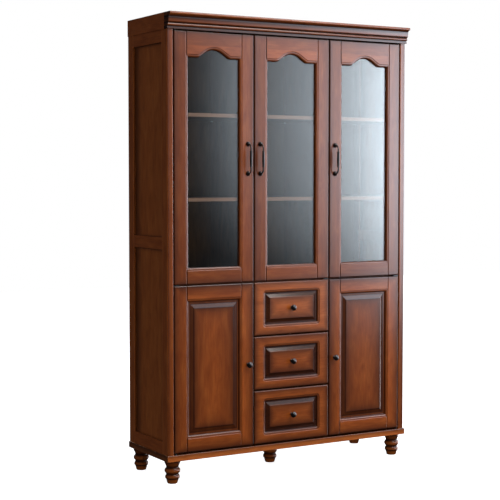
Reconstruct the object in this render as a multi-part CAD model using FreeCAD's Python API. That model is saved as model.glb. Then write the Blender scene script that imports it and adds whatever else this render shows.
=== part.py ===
import FreeCAD, Part
import math
import os

# Bookcase: three arched glass doors over two panelled cupboards and three drawers.
# Lengths are in millimetres. X runs right, Y runs back and Z runs up.
# The origin lies on the floor under the middle of the carcass.

Vector = FreeCAD.Vector

# Values shared by all pieces
overrun = 2.0
same_place = 0.01
diagonal_share = math.sqrt(0.5)

# Carcass, measured over the side frames and from the floor to the top of the cornice
carcass_width = 1240.0
carcass_depth = 380.0
total_height = 2000.0

# Turned feet. The shares are of the foot's radius and height: first the corners of
# the tapered end, then arcs given by a middle and an end point.
foot_radius = 34.0
foot_height = 99.0
foot_side_inset = 39.0
foot_front_inset = 38.0
foot_back_inset = 35.0
foot_taper_shares = [(0.61, 0.0), (0.65, 0.02), (0.79, 0.20)]
foot_turning_shares = [
    ((0.90, 0.235), (0.92, 0.285)),
    ((0.885, 0.345), (0.80, 0.39)),
    ((0.785, 0.42), (0.80, 0.45)),
    ((1.0, 0.56), (0.80, 0.685)),
    ((0.785, 0.72), (0.80, 0.755)),
    ((0.885, 0.83), (1.0, 0.90)),
]
bolt_radius = 4.0
bolt_foot_length = 38.0
bolt_base_share = 0.75

# Base board
base_thickness = 27.0
base_overhang = 5.0
base_round = 2.5

# Framed sides with flat panels held in grooves
side_thickness = 28.0
side_rail_width = 52.0
side_round = 4.0
side_panel_thickness = 12.0
side_panel_recess = 8.0
groove_depth = 9.0
groove_play = 0.5

# Cornice. The shares are of its projection and height: a point draws a line and a pair
# of points draws an arc, from the top bead over the cove to the lower bead and its fillet.
cornice_height = 70.0
cornice_projection = 36.0
cornice_overhang = 2.5
cornice_backing = 22.0
cornice_side_thickness = 20.0
cornice_profile_shares = [
    (0.9, 1.0),
    ((1.0, 0.915), (0.9, 0.83)),
    (0.82, 0.83),
    ((0.65, 0.785), (0.58, 0.66)),
    (0.53, 0.49),
    ((0.48, 0.41), (0.32, 0.37)),
    (0.2, 0.37),
    ((0.38, 0.265), (0.2, 0.16)),
    (0.13, 0.16),
    (0.13, 0.105),
    (0.26, 0.105),
    (0.26, 0.0),
]

# Boards inside the carcass
board_thickness = 18.0
back_thickness = 6.0
back_inset = 2.0
shelf_thickness = 16.0
shelf_setback = 8.0
shelf_play = 1.0
upper_shelf_count = 2
pin_radius = 2.5
pin_length = 14.0
pin_inset = 12.0

# Doors and drawers in three equal columns
column_count = 3
door_thickness = 22.0
door_gap = 3.0
middle_gap = 4.0
base_gap = 6.0
cornice_gap = 3.0
middle_height = 850.0
door_setback = 5.0

# Moulded door frames: a flat face rounded into a small step, then a quarter round down to the lip
face_width = 59.0
edge_round = 5.0
step_depth = 2.5
face_round_share = 0.88
step_width = 3.5
ovolo_radius = 9.0
lip_edge = 1.0
joint_groove_width = 4.5

# Arched top rail of the glass doors, measured at the lip
shoulder_drop = 112.0
arch_rise = 35.0
arch_half_width = 82.0
crown_radius = 72.0
shoulder_radius = 24.0

# Glass and the beads behind it
glass_thickness = 4.0
rebate_width = 10.0
glass_play = 1.0
bead_width = 9.0

# Raised panels of the cupboard doors
panel_tongue_thickness = 6.0
panel_tongue_play = 1.0
panel_margin = 11.0
panel_bevel_width = 17.0
panel_bevel_height = 6.0

# Drawers
drawer_count = 3
drawer_border = 37.0
drawer_side_border = 47.0
drawer_corner_radius = 3.0
drawer_step_width = 4.5
drawer_ovolo_radius = 7.0
drawer_recess_edge = 0.5
drawer_margin = 7.5
drawer_bevel_width = 15.0
drawer_bevel_height = 8.5
drawer_wall = 12.0
drawer_bottom = 6.0
drawer_bottom_rise = 10.0
drawer_bottom_groove = 5.0
drawer_box_rise = 30.0
drawer_box_drop = 36.0
drawer_box_back_gap = 25.0

# Drawer slides: one channel runs inside the other
slide_space = 13.0
slide_wall = 1.5
slide_clearance = 0.4
slide_height = 45.0
slide_setback = 3.0
slide_back_gap = 24.0

# Door pivots: pins near the front edge of each hinge stile
pivot_radius = 3.0
pivot_clearance = 0.05
pivot_inset = 8.0
pivot_setback = 7.0
pivot_depth = 16.0
pivot_play = 0.3
pivot_fixed_depth = 14.0
pivot_collar_radius = 6.0
pivot_plate_margin = 6.0
pivot_plate_width = 24.0
pivot_plate_tail = 26.0

# Magnetic catches on the partitions
catch_width = 12.0
catch_depth = 26.0
catch_height = 38.0
catch_drop = 60.0
catch_gap = 0.5

# Bow handles
handle_spacing = 128.0
handle_projection = 28.0
handle_ball_radius = 10.5
handle_ball_sink = 8.0
handle_neck_radius = 3.2
handle_bend_radius = 20.0
handle_grip_length = 62.0
handle_grip_radius = 6.0
handle_grip_end_radius = 5.0
handle_collar_radius = 6.4
handle_collar_width = 4.0

# Knobs. The shares are of the knob's radius and projection, arcs as in the feet,
# up to the rim. A dome closes the front.
knob_radius = 13.5
knob_projection = 27.0
knob_stem_shares = [(0.52, 0.0), (0.52, 0.07)]
knob_turning_shares = [
    ((0.40, 0.13), (0.35, 0.26)),
    ((0.42, 0.44), (0.92, 0.62)),
    ((1.0, 0.69), (0.95, 0.76)),
]
screw_radius = 2.0
screw_clearance = 0.25
screw_head_radius = 4.2
screw_head_height = 2.4
screw_grip_length = 7.0

# Planes and heights that follow from the values above
front_y = -carcass_depth / 2
back_y = carcass_depth / 2
half_width = carcass_width / 2
base_top = foot_height + base_thickness
cornice_bottom = total_height - cornice_height
opening_half = half_width - side_thickness
door_back_y = front_y + door_thickness
inner_front_y = door_back_y + door_setback
inner_back_y = back_y - back_inset - back_thickness
deck_bottom = middle_height - board_thickness / 2
deck_top = middle_height + board_thickness / 2

# Door leaves and columns
door_width = (2 * opening_half - (column_count + 1) * door_gap) / column_count
door_pitch = door_width + door_gap
upper_bottom = middle_height + middle_gap / 2
upper_top = cornice_bottom - cornice_gap
lower_bottom = base_top + base_gap
lower_top = middle_height - middle_gap / 2
door_lefts = [-opening_half + door_gap + column * door_pitch for column in range(column_count)]
partition_xs = [left - door_gap / 2 for left in door_lefts[1:]]
column_lefts = [-opening_half] + [x + board_thickness / 2 for x in partition_xs]
column_rights = [x - board_thickness / 2 for x in partition_xs] + [opening_half]

# Depths across the door frames
face_round = step_depth * face_round_share
moulding_width = step_width + ovolo_radius
frame_width = face_width + moulding_width
lip_depth = step_depth + ovolo_radius + lip_edge
rebate_line = frame_width - rebate_width

# Drawer heights and the moulding around a drawer's field
drawer_moulding_width = drawer_step_width + drawer_ovolo_radius
drawer_recess_depth = step_depth + drawer_ovolo_radius + drawer_recess_edge
drawer_height = (lower_top - lower_bottom - (drawer_count - 1) * middle_gap) / drawer_count
drawer_bottoms = [lower_bottom + place * (drawer_height + middle_gap) for place in range(drawer_count)]
drawer_box_height = drawer_height - drawer_box_rise - drawer_box_drop

# Pivot line of a door from its hinge edge, and the plate in the gap between the doors
pivot_y = front_y + pivot_setback
pivot_plate_thickness = middle_gap - 2 * pivot_play

nodes = {}


def keep(name, solids):
    """Store the solids of one node."""
    nodes[name] = solids


def board(low, high):
    """Plain board between two opposite corners."""
    return Part.makeBox(high[0] - low[0], high[1] - low[1], high[2] - low[2], Vector(*low))


def joined(first, others):
    """One solid from several that touch or overlap."""
    return first.multiFuse(others).removeSplitter().Solids[0]


def without(shape, tools):
    """One solid after cutting the tools away."""
    return shape.cut(tools).Solids[0]


def rounded(shape, radius, wanted):
    """Solid with the edges that the test picks rounded over."""
    picked = [edge for edge in shape.Edges if wanted(edge.BoundBox)]
    return shape.makeFillet(radius, picked).Solids[0]


def level(low, high, value):
    """True where a span lies at one value."""
    return abs(low - value) < same_place and abs(high - value) < same_place


def within(box, x_span, z_span):
    """True for a bounding box inside a window seen from the front."""
    across = box.XMin > x_span[0] - same_place and box.XMax < x_span[1] + same_place
    return across and box.ZMin > z_span[0] - same_place and box.ZMax < z_span[1] + same_place


def outline(start, steps):
    """Closed flat face. A step is a point for a line, or a middle and an end point for an arc."""
    edges = []
    here = start
    for step in steps:
        if isinstance(step, tuple):
            end = step[1]
            edges.append(Part.Arc(here, step[0], end).toShape())
        else:
            end = step
            edges.append(Part.LineSegment(here, end).toShape())
        here = end
    if here.distanceToPoint(start) > same_place:
        edges.append(Part.LineSegment(here, start).toShape())
    return Part.Face(Part.Wire(edges))


def edge_cutter(low, high, axis_y, axis_z, radius):
    """Tool that rounds a long edge along X: a bar less the round that stays."""
    bar = board(low, high)
    start = Vector(low[0] - overrun, axis_y, axis_z)
    stay = Part.makeCylinder(radius, high[0] - low[0] + 2 * overrun, start, Vector(1, 0, 0))
    return bar.cut(stay)


def turned(place, start_shares, arc_shares, radius, length):
    """Half outline of a turned piece from shares of its radius and length."""
    steps = [place(share[0] * radius, share[1] * length) for share in start_shares]
    for middle, end in arc_shares:
        arc_middle = place(middle[0] * radius, middle[1] * length)
        steps.append((arc_middle, place(end[0] * radius, end[1] * length)))
    return steps


# Feet with their bolts, and the base board that takes the bolts
foot_xs = [-half_width + foot_side_inset, half_width - foot_side_inset]
foot_ys = [front_y + foot_front_inset, back_y - foot_back_inset]
foot_places = [(x, y) for y in foot_ys for x in foot_xs] + [(0, 0)]
bolt_length = bolt_foot_length + base_thickness * bolt_base_share

feet = []
bolts = []
for foot_x, foot_y in foot_places:
    def foot_point(radius, height, x=foot_x, y=foot_y):
        return Vector(x + radius, y, height)

    steps = turned(foot_point, foot_taper_shares, foot_turning_shares, foot_radius, foot_height)
    steps += [foot_point(foot_radius, foot_height), foot_point(0, foot_height)]
    foot = outline(foot_point(0, 0), steps).revolve(foot_point(0, 0), Vector(0, 0, 1), 360)
    bolt = Part.makeCylinder(bolt_radius, bolt_length, foot_point(0, foot_height - bolt_foot_length))
    feet.append(without(foot, [bolt]))
    bolts.append(bolt)
keep("feet", feet)
keep("foot_bolts", bolts)

base_half = half_width + base_overhang
base_board = board((-base_half, front_y - base_overhang, foot_height), (base_half, back_y, base_top))
base_board = rounded(
    base_board, base_round, lambda b: b.ZLength < same_place and b.YMin < back_y - same_place)

# Framed sides: stiles from base to cornice, rails between them, panels in grooves
side_middle = (base_top + cornice_bottom) / 2
side_rail_bottoms = [base_top, side_middle - side_rail_width / 2, cornice_bottom - side_rail_width]
stile_front_back = front_y + side_rail_width
stile_back_front = back_y - side_rail_width
tongue_length = groove_depth - groove_play
groove_near = side_panel_recess
groove_far = side_panel_recess + side_panel_thickness


def side_span(side, near, far):
    """X span between two depths from the outer face of one side, smaller value first."""
    ends = [side * (half_width - near), side * (half_width - far)]
    return min(ends), max(ends)


def side_board(side, near, far, y_low, y_high, z_low, z_high):
    """Board of a side frame between two depths from its outer face."""
    x_low, x_high = side_span(side, near, far)
    return board((x_low, y_low, z_low), (x_high, y_high, z_high))


def side_frame(side):
    """Stiles, rails and panels of one framed side."""
    front_stile = side_board(side, 0, side_thickness, front_y, stile_front_back, base_top, cornice_bottom)
    front_stile = rounded(
        front_stile, side_round, lambda b: level(b.YMin, b.YMax, front_y) and b.XLength < same_place)
    front_groove = side_board(
        side, groove_near, groove_far, stile_front_back - groove_depth, stile_front_back + overrun,
        base_top - overrun, cornice_bottom + overrun)
    back_stile = side_board(side, 0, side_thickness, stile_back_front, back_y, base_top, cornice_bottom)
    back_groove = side_board(
        side, groove_near, groove_far, stile_back_front - overrun, stile_back_front + groove_depth,
        base_top - overrun, cornice_bottom + overrun)
    stiles = [without(front_stile, [front_groove]), without(back_stile, [back_groove])]
    rails = []
    for z_low in side_rail_bottoms:
        z_high = z_low + side_rail_width
        rail = side_board(side, 0, side_thickness, stile_front_back, stile_back_front, z_low, z_high)
        tongue = side_board(
            side, groove_near, groove_far, stile_front_back - tongue_length,
            stile_back_front + tongue_length, z_low, z_high)
        rail = joined(rail, [tongue])
        grooves = []
        if z_low > base_top:
            grooves.append(side_board(
                side, groove_near, groove_far, front_y, back_y, z_low - overrun, z_low + groove_depth))
        if z_high < cornice_bottom:
            grooves.append(side_board(
                side, groove_near, groove_far, front_y, back_y, z_high - groove_depth, z_high + overrun))
        rails.append(without(rail, grooves))
    panels = []
    for below, above in zip(side_rail_bottoms[:-1], side_rail_bottoms[1:]):
        panels.append(side_board(
            side, groove_near, groove_far, stile_front_back - tongue_length,
            stile_back_front + tongue_length, below + side_rail_width - tongue_length,
            above + tongue_length))
    return stiles, rails, panels


left_stiles, left_rails, left_panels = side_frame(-1)
right_stiles, right_rails, right_panels = side_frame(1)

# Cornice: moulded front, plain side boards and the top board between them
cornice_half = half_width + cornice_overhang


def cornice_point(projection, height):
    return Vector(-cornice_half, front_y - projection, cornice_bottom + height)


def cornice_share_point(share):
    return cornice_point(share[0] * cornice_projection, share[1] * cornice_height)


cornice_steps = []
for share in cornice_profile_shares:
    if isinstance(share[0], tuple):
        cornice_steps.append((cornice_share_point(share[0]), cornice_share_point(share[1])))
    else:
        cornice_steps.append(cornice_share_point(share))
cornice_steps.append(cornice_point(-cornice_backing, 0))
cornice_face = outline(cornice_point(-cornice_backing, cornice_height), cornice_steps)
cornice_moulding = cornice_face.extrude(Vector(2 * cornice_half, 0, 0))

cornice_inner = cornice_half - cornice_side_thickness
cornice_back_y = front_y + cornice_backing
cornice_sides = [
    board((-cornice_half, cornice_back_y, cornice_bottom), (-cornice_inner, back_y, total_height)),
    board((cornice_inner, cornice_back_y, cornice_bottom), (cornice_half, back_y, total_height)),
]
top_board = board(
    (-cornice_inner, cornice_back_y, cornice_bottom),
    (cornice_inner, back_y, cornice_bottom + board_thickness))
keep("cornice_sides", cornice_sides)
keep("top_board", [top_board])

# Inner boards: deck across the middle, partitions above and below it, thin backs
deck = board((-opening_half, inner_front_y, deck_bottom), (opening_half, inner_back_y, deck_top))


def partition(x, z_low, z_high):
    half = board_thickness / 2
    return board((x - half, inner_front_y, z_low), (x + half, inner_back_y, z_high))


upper_partitions = [partition(x, deck_top, cornice_bottom) for x in partition_xs]
lower_partitions = [partition(x, base_top, deck_bottom) for x in partition_xs]
back_panels = [
    board((-opening_half, inner_back_y, base_top), (opening_half, back_y - back_inset, middle_height)),
    board((-opening_half, inner_back_y, middle_height),
          (opening_half, back_y - back_inset, cornice_bottom)),
]
keep("back_panels", back_panels)

# Loose shelves, each on four pins
shelf_front_y = inner_front_y + shelf_setback
shelf_back_y = inner_back_y - shelf_play
pin_ys = [shelf_front_y + pin_inset, shelf_back_y - pin_inset]
pins = []


def shelf(column, z_low):
    """Shelf of one column, with its pins added to the shared list."""
    left = column_lefts[column]
    right = column_rights[column]
    for wall in (left, right):
        for y in pin_ys:
            start = Vector(wall - pin_length / 2, y, z_low - pin_radius)
            pins.append(Part.makeCylinder(pin_radius, pin_length, start, Vector(1, 0, 0)))
    return board(
        (left + shelf_play, shelf_front_y, z_low),
        (right - shelf_play, shelf_back_y, z_low + shelf_thickness))


upper_clear = cornice_bottom - deck_top - upper_shelf_count * shelf_thickness
upper_bay = upper_clear / (upper_shelf_count + 1)
upper_shelf_zs = [
    deck_top + (place + 1) * upper_bay + place * shelf_thickness for place in range(upper_shelf_count)]
upper_shelves = [shelf(column, z) for column in range(column_count) for z in upper_shelf_zs]
cupboard_shelf_z = (base_top + deck_bottom - shelf_thickness) / 2
cupboard_shelves = [shelf(0, cupboard_shelf_z), shelf(column_count - 1, cupboard_shelf_z)]
keep("upper_shelves", upper_shelves)
keep("cupboard_shelves", cupboard_shelves)
keep("shelf_pins", pins)

left_stiles = [without(stile, pins) for stile in left_stiles]
right_stiles = [without(stile, pins) for stile in right_stiles]
keep("left_side_stiles", left_stiles)
keep("left_side_rails", left_rails)
keep("left_side_panels", left_panels)
keep("right_side_stiles", right_stiles)
keep("right_side_rails", right_rails)
keep("right_side_panels", right_panels)
keep("upper_partitions", [without(wall, pins) for wall in upper_partitions])

# Pivot pins: the hinge side of a door is -1 for its left edge and 1 for its right edge
glass_door_names = ["left_glass_door", "middle_glass_door", "right_glass_door"]
glass_hinge_sides = [-1, 1, 1]
cupboard_door_names = ["left_cupboard_door", "right_cupboard_door"]
cupboard_columns = [0, column_count - 1]
cupboard_hinge_sides = [-1, 1]


def hinge_edge(column, side):
    """X of the hinge edge of a door."""
    left = door_lefts[column]
    return left if side < 0 else left + door_width


def pivot_x(column, side):
    return hinge_edge(column, side) - side * pivot_inset


def upright_pin(x, radius, z_low, z_high):
    """Upright round bar on the pivot line of a door."""
    return Part.makeCylinder(radius, z_high - z_low, Vector(x, pivot_y, z_low))


def pivot_plate(column, side):
    """Plate in the middle gap, let into the front edge of the deck."""
    ends = [
        pivot_x(column, side) + side * pivot_plate_margin,
        pivot_x(column, side) + side * (pivot_plate_margin - pivot_plate_width),
    ]
    half = pivot_plate_thickness / 2
    return board(
        (min(ends), pivot_y - pivot_plate_margin, middle_height - half),
        (max(ends), inner_front_y + pivot_plate_tail, middle_height + half))


pivots = []
deck_slots = []
cornice_pins = []
base_pins = []
base_pivots = []
for column, side in enumerate(glass_hinge_sides):
    x = pivot_x(column, side)
    plate = pivot_plate(column, side)
    deck_slots.append(plate)
    pin_low = middle_height
    if column in cupboard_columns:
        pin_low = lower_top - pivot_depth
    pin = upright_pin(x, pivot_radius, pin_low, upper_bottom + pivot_depth)
    pivots.append(joined(plate, [pin]))
    top_pin = upright_pin(x, pivot_radius, upper_top - pivot_depth, cornice_bottom + pivot_fixed_depth)
    cornice_pins.append(top_pin)
for column, side in zip(cupboard_columns, cupboard_hinge_sides):
    x = pivot_x(column, side)
    pin = upright_pin(x, pivot_radius, base_top - pivot_fixed_depth, lower_bottom + pivot_depth)
    collar = upright_pin(x, pivot_collar_radius, base_top, lower_bottom - pivot_play)
    base_pins.append(pin)
    base_pivots.append(joined(pin, [collar]))
keep("door_pivots", pivots + cornice_pins + base_pivots)
keep("middle_deck", [without(deck, deck_slots)])
keep("cornice_moulding", [without(cornice_moulding, cornice_pins)])
keep("base_board", [without(base_board, base_pins + bolts)])


def pivot_bores(column, side, z_low, z_high):
    """Blind bores for the pins in both ends of a hinge stile."""
    x = pivot_x(column, side)
    radius = pivot_radius + pivot_clearance
    depth = pivot_depth + pivot_play
    return [
        upright_pin(x, radius, z_low - overrun, z_low + depth),
        upright_pin(x, radius, z_high - depth, z_high + overrun),
    ]


# Magnetic catches beside the free edge of each door
catches = []


def catch(column, hinge_side, door_top):
    """Catch on the partition that the free stile of a door closes against."""
    wall = column_rights[column] if hinge_side < 0 else column_lefts[column]
    ends = [wall, wall + hinge_side * catch_width]
    low = (min(ends), door_back_y + catch_gap, door_top - catch_drop - catch_height)
    high = (max(ends), door_back_y + catch_gap + catch_depth, door_top - catch_drop)
    return board(low, high)


for column, side in enumerate(glass_hinge_sides):
    catches.append(catch(column, side, upper_top))
for column, side in zip(cupboard_columns, cupboard_hinge_sides):
    catches.append(catch(column, side, lower_top))
keep("magnetic_catches", catches)


# Door frames
def frame_section(place, tail):
    """Section of a stile or rail, from its outer edge over the face to the moulded inner edge."""
    near = edge_round * (1 - diagonal_share)
    face_near = face_round * (1 - diagonal_share)
    across = ovolo_radius * diagonal_share
    drop = ovolo_radius * (1 - diagonal_share)
    steps = [
        place(0, edge_round),
        (place(near, near), place(edge_round, 0)),
        place(face_width - face_round, 0),
        (place(face_width - face_near, face_near), place(face_width, face_round)),
        place(face_width, step_depth),
        place(face_width + step_width, step_depth),
        (place(face_width + step_width + across, step_depth + drop),
         place(frame_width, step_depth + ovolo_radius)),
        place(frame_width, lip_depth),
    ]
    steps += [place(width, depth) for width, depth in tail]
    return outline(place(0, door_thickness), steps)


panel_groove_line = frame_width - groove_depth
panel_back_depth = lip_depth + panel_tongue_thickness
glass_tail = [(rebate_line, lip_depth), (rebate_line, door_thickness)]
panel_tail = [
    (panel_groove_line, lip_depth),
    (panel_groove_line, panel_back_depth),
    (frame_width, panel_back_depth),
    (frame_width, door_thickness),
]


def end_cutters(left, right, z_low, z_high):
    """Tools that round the front edges at the bottom and the top of a leaf."""
    y_low = front_y - overrun
    y_high = front_y + edge_round
    return [
        edge_cutter((left, y_low, z_low - overrun), (right, y_high, z_low + edge_round),
                    y_high, z_low + edge_round, edge_round),
        edge_cutter((left, y_low, z_high - edge_round), (right, y_high, z_high + overrun),
                    y_high, z_high - edge_round, edge_round),
    ]


def door_stiles(left, z_low, z_high, tail):
    """Left and right stile of a leaf."""
    right = left + door_width
    stiles = []
    for start, turn in ((left, 1), (right, -1)):
        def place(width, depth, start=start, turn=turn):
            return Vector(start + turn * width, front_y + depth, z_low)

        stile = frame_section(place, tail).extrude(Vector(0, 0, z_high - z_low))
        stiles.append(without(stile, end_cutters(left, right, z_low, z_high)))
    return stiles


def joint_grooves(left, z_low, z_high):
    """Shallow grooves on the face where a rail meets the two stiles."""
    tools = []
    for start, turn in ((left, 1), (left + door_width, -1)):
        ends = [start + turn * face_width, start + turn * (face_width + joint_groove_width)]
        tools.append(board(
            (min(ends), front_y - overrun, z_low - overrun),
            (max(ends), front_y + step_depth, z_high + overrun)))
    return tools


def straight_rail(left, z_outer, turn, tail, stiles):
    """Rail with its outer edge at one height, coped over the stiles. Turn is 1 upward."""
    def place(width, depth):
        return Vector(left + face_width, front_y + depth, z_outer + turn * width)

    rail = frame_section(place, tail).extrude(Vector(door_width - 2 * face_width, 0, 0))
    rail = without(rail, stiles)
    ends = [z_outer, z_outer + turn * face_width]
    return without(rail, joint_grooves(left, min(ends), max(ends)))


# Arch: the slope where the crown's arc and the shoulder's arc share a tangent line
arch_reach = crown_radius + shoulder_radius
arch_slant = math.hypot(arch_half_width, arch_reach - arch_rise)
arch_lean = math.atan2(arch_reach - arch_rise, arch_half_width)
arch_angle = math.asin(arch_reach / arch_slant) - arch_lean


def arch_layer(left, depth_low, depth_high, lift):
    """Layer of the arched rail between two depths, its lower edge lifted from the lip."""
    middle_x = left + door_width / 2
    shoulder_z = upper_top - shoulder_drop
    crown = (middle_x, shoulder_z + arch_rise - crown_radius)
    y = front_y + depth_low

    def crown_point(angle):
        radius = crown_radius + lift
        return Vector(crown[0] + radius * math.sin(angle), y, crown[1] + radius * math.cos(angle))

    def shoulder_point(side, angle):
        radius = shoulder_radius - lift
        x = middle_x + side * (arch_half_width - radius * math.sin(angle))
        return Vector(x, y, shoulder_z + shoulder_radius - radius * math.cos(angle))

    start = left + face_width
    end = left + door_width - face_width
    steps = [
        Vector(start, y, shoulder_z + lift),
        shoulder_point(-1, 0),
        (shoulder_point(-1, arch_angle / 2), shoulder_point(-1, arch_angle)),
        crown_point(-arch_angle),
        (crown_point(0), crown_point(arch_angle)),
        shoulder_point(1, arch_angle),
        (shoulder_point(1, arch_angle / 2), shoulder_point(1, 0)),
        Vector(end, y, shoulder_z + lift),
        Vector(end, y, upper_top),
    ]
    layer = outline(Vector(start, y, upper_top), steps)
    return layer.extrude(Vector(0, depth_high - depth_low, 0))


def arched_rail(left, stiles):
    """Top rail of a glass door: thin face, moulded lip on the arch, straight rebate behind."""
    face = arch_layer(left, 0, step_depth, moulding_width)
    lip = arch_layer(left, step_depth, lip_depth, 0)
    lip_front = front_y + step_depth
    arch_top = upper_top - shoulder_drop + arch_rise
    face_top = arch_top + moulding_width
    face = rounded(
        face, face_round, lambda b: level(b.YMin, b.YMax, front_y) and b.ZMax < face_top + same_place)
    lip = rounded(
        lip, ovolo_radius, lambda b: level(b.YMin, b.YMax, lip_front) and b.ZMax < arch_top + same_place)
    backing = board(
        (left + face_width, front_y + lip_depth, arch_top + rebate_width),
        (left + door_width - face_width, door_back_y, upper_top))
    rail = joined(face, [lip, backing])
    rail = without(rail, end_cutters(left, left + door_width, upper_bottom, upper_top))
    rail = without(rail, stiles)
    return without(rail, joint_grooves(left, upper_top - shoulder_drop + moulding_width, upper_top))


# Handles and knobs, each with the screws that hold it from behind
def screw(x, z, tip_y, head_y):
    """Screw along Y with its head on the back of a leaf."""
    shank = Part.makeCylinder(screw_radius, head_y - tip_y, Vector(x, tip_y, z), Vector(0, 1, 0))
    head = Part.makeCylinder(screw_head_radius, screw_head_height, Vector(x, head_y, z), Vector(0, 1, 0))
    head = rounded(
        head, screw_head_height / 2, lambda b: level(b.YMin, b.YMax, head_y + screw_head_height))
    return joined(shank, [head])


def screw_hole(x, z, y_low, y_high):
    """Clearance hole for a screw along Y."""
    start = Vector(x, y_low - overrun, z)
    return Part.makeCylinder(
        screw_radius + screw_clearance, y_high - y_low + 2 * overrun, start, Vector(0, 1, 0))


def bow_handle(x, z):
    """Upright bow handle on the face of a door, and its two screws."""
    grip_y = front_y - handle_projection
    grip_half = handle_grip_length / 2
    collar_half = grip_half + handle_collar_width

    def grip_point(radius, height):
        return Vector(x + radius, grip_y, z + height)

    collar_middle = grip_half + handle_collar_width / 2
    spindle = outline(grip_point(0, -collar_half), [
        grip_point(handle_neck_radius, -collar_half),
        (grip_point(handle_collar_radius, -collar_middle), grip_point(handle_grip_end_radius, -grip_half)),
        (grip_point(handle_grip_radius, 0), grip_point(handle_grip_end_radius, grip_half)),
        (grip_point(handle_collar_radius, collar_middle), grip_point(handle_neck_radius, collar_half)),
        grip_point(0, collar_half),
    ]).revolve(grip_point(0, 0), Vector(0, 0, 1), 360)

    pieces = []
    screws = []
    for side in (-1, 1):
        foot_z = z + side * handle_spacing / 2
        bend_y = grip_y + handle_bend_radius
        bend_z = foot_z - side * handle_bend_radius
        bend_near = handle_bend_radius * (1 - diagonal_share)
        start = Vector(x, front_y, foot_z)
        turn = Vector(x, bend_y, foot_z)
        bend = Vector(x, grip_y + bend_near, foot_z - side * bend_near)
        level_out = Vector(x, grip_y, bend_z)
        finish = Vector(x, grip_y, z + side * grip_half)
        path = Part.Wire([
            Part.LineSegment(start, turn).toShape(),
            Part.Arc(turn, bend, level_out).toShape(),
            Part.LineSegment(level_out, finish).toShape(),
        ])
        ring = Part.Wire([Part.makeCircle(handle_neck_radius, start, Vector(0, 1, 0))])
        pieces.append(path.makePipeShell([ring], True, False))
        ball_y = front_y - handle_ball_radius + handle_ball_sink
        ball = Part.makeSphere(handle_ball_radius, Vector(x, ball_y, foot_z))
        reach = 2 * handle_ball_radius
        behind = board((x - reach, front_y, foot_z - reach), (x + reach, front_y + reach, foot_z + reach))
        pieces.append(without(ball, [behind]))
        screws.append(screw(x, foot_z, front_y - screw_grip_length, door_back_y))
    handle = joined(spindle, pieces)
    return [without(handle, screws)] + screws


def knob(x, z, face_y, back_face_y):
    """Turned knob standing on a face, and its screw from behind."""
    def knob_point(radius, reach):
        return Vector(x + radius, face_y - reach, z)

    steps = turned(knob_point, knob_stem_shares, knob_turning_shares, knob_radius, knob_projection)
    rim_shares = knob_turning_shares[-1][1]
    rim = rim_shares[0] * knob_radius
    dome_height = knob_projection * (1 - rim_shares[1])
    dome_radius = (rim ** 2 + dome_height ** 2) / (2 * dome_height)
    half_angle = math.asin(rim / dome_radius) / 2
    dome_middle = knob_point(
        dome_radius * math.sin(half_angle), knob_projection - dome_radius * (1 - math.cos(half_angle)))
    steps.append((dome_middle, knob_point(0, knob_projection)))
    body = outline(knob_point(0, 0), steps).revolve(knob_point(0, 0), Vector(0, 1, 0), 360)
    fixing = screw(x, z, face_y - screw_grip_length, back_face_y)
    return [without(body, [fixing]), fixing]


# Glass doors
handle_z = (upper_bottom + upper_top) / 2
pane_bottom = upper_bottom + rebate_line
pane_top = upper_top - shoulder_drop + arch_rise + rebate_width
for column, name in enumerate(glass_door_names):
    left = door_lefts[column]
    right = left + door_width
    side = glass_hinge_sides[column]
    handle_x = hinge_edge(column, -side) + side * face_width / 2
    stiles = door_stiles(left, upper_bottom, upper_top, glass_tail)
    top_rail = arched_rail(left, stiles)
    bottom_rail = straight_rail(left, upper_bottom, 1, glass_tail, stiles)
    holes = [
        screw_hole(handle_x, handle_z + end * handle_spacing / 2, front_y, door_back_y) for end in (-1, 1)]
    holes += pivot_bores(column, side, upper_bottom, upper_top)
    keep(name + "_stiles", [without(stile, holes) for stile in stiles])
    keep(name + "_top_rail", [top_rail])
    keep(name + "_bottom_rail", [bottom_rail])

    pane_left = left + rebate_line
    pane_right = right - rebate_line
    pane_y = front_y + lip_depth
    bead_y = pane_y + glass_thickness
    keep(name + "_pane", [board(
        (pane_left + glass_play, pane_y, pane_bottom + glass_play),
        (pane_right - glass_play, bead_y, pane_top - glass_play))])
    bead_left = pane_left + bead_width
    bead_right = pane_right - bead_width
    keep(name + "_glazing_beads", [
        board((pane_left, bead_y, pane_bottom), (bead_left, door_back_y, pane_top)),
        board((bead_right, bead_y, pane_bottom), (pane_right, door_back_y, pane_top)),
        board((bead_left, bead_y, pane_bottom), (bead_right, door_back_y, pane_bottom + bead_width)),
        board((bead_left, bead_y, pane_top - bead_width), (bead_right, door_back_y, pane_top)),
    ])
    keep(name + "_handle", bow_handle(handle_x, handle_z))


def raised_field(x_span, z_span, base_y, bevel_width, bevel_height):
    """Field with sloping edges, standing forward from a flat face."""
    return Part.makeWedge(
        x_span[0], -base_y, z_span[0], z_span[0] + bevel_width, x_span[0] + bevel_width,
        x_span[1], bevel_height - base_y, z_span[1], z_span[1] - bevel_width, x_span[1] - bevel_width)


def mirrored_in_y(shape):
    """Shape flipped across the plane of the origin, so that its front faces forward."""
    return shape.mirror(Vector(0, 0, 0), Vector(0, 1, 0))


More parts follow.
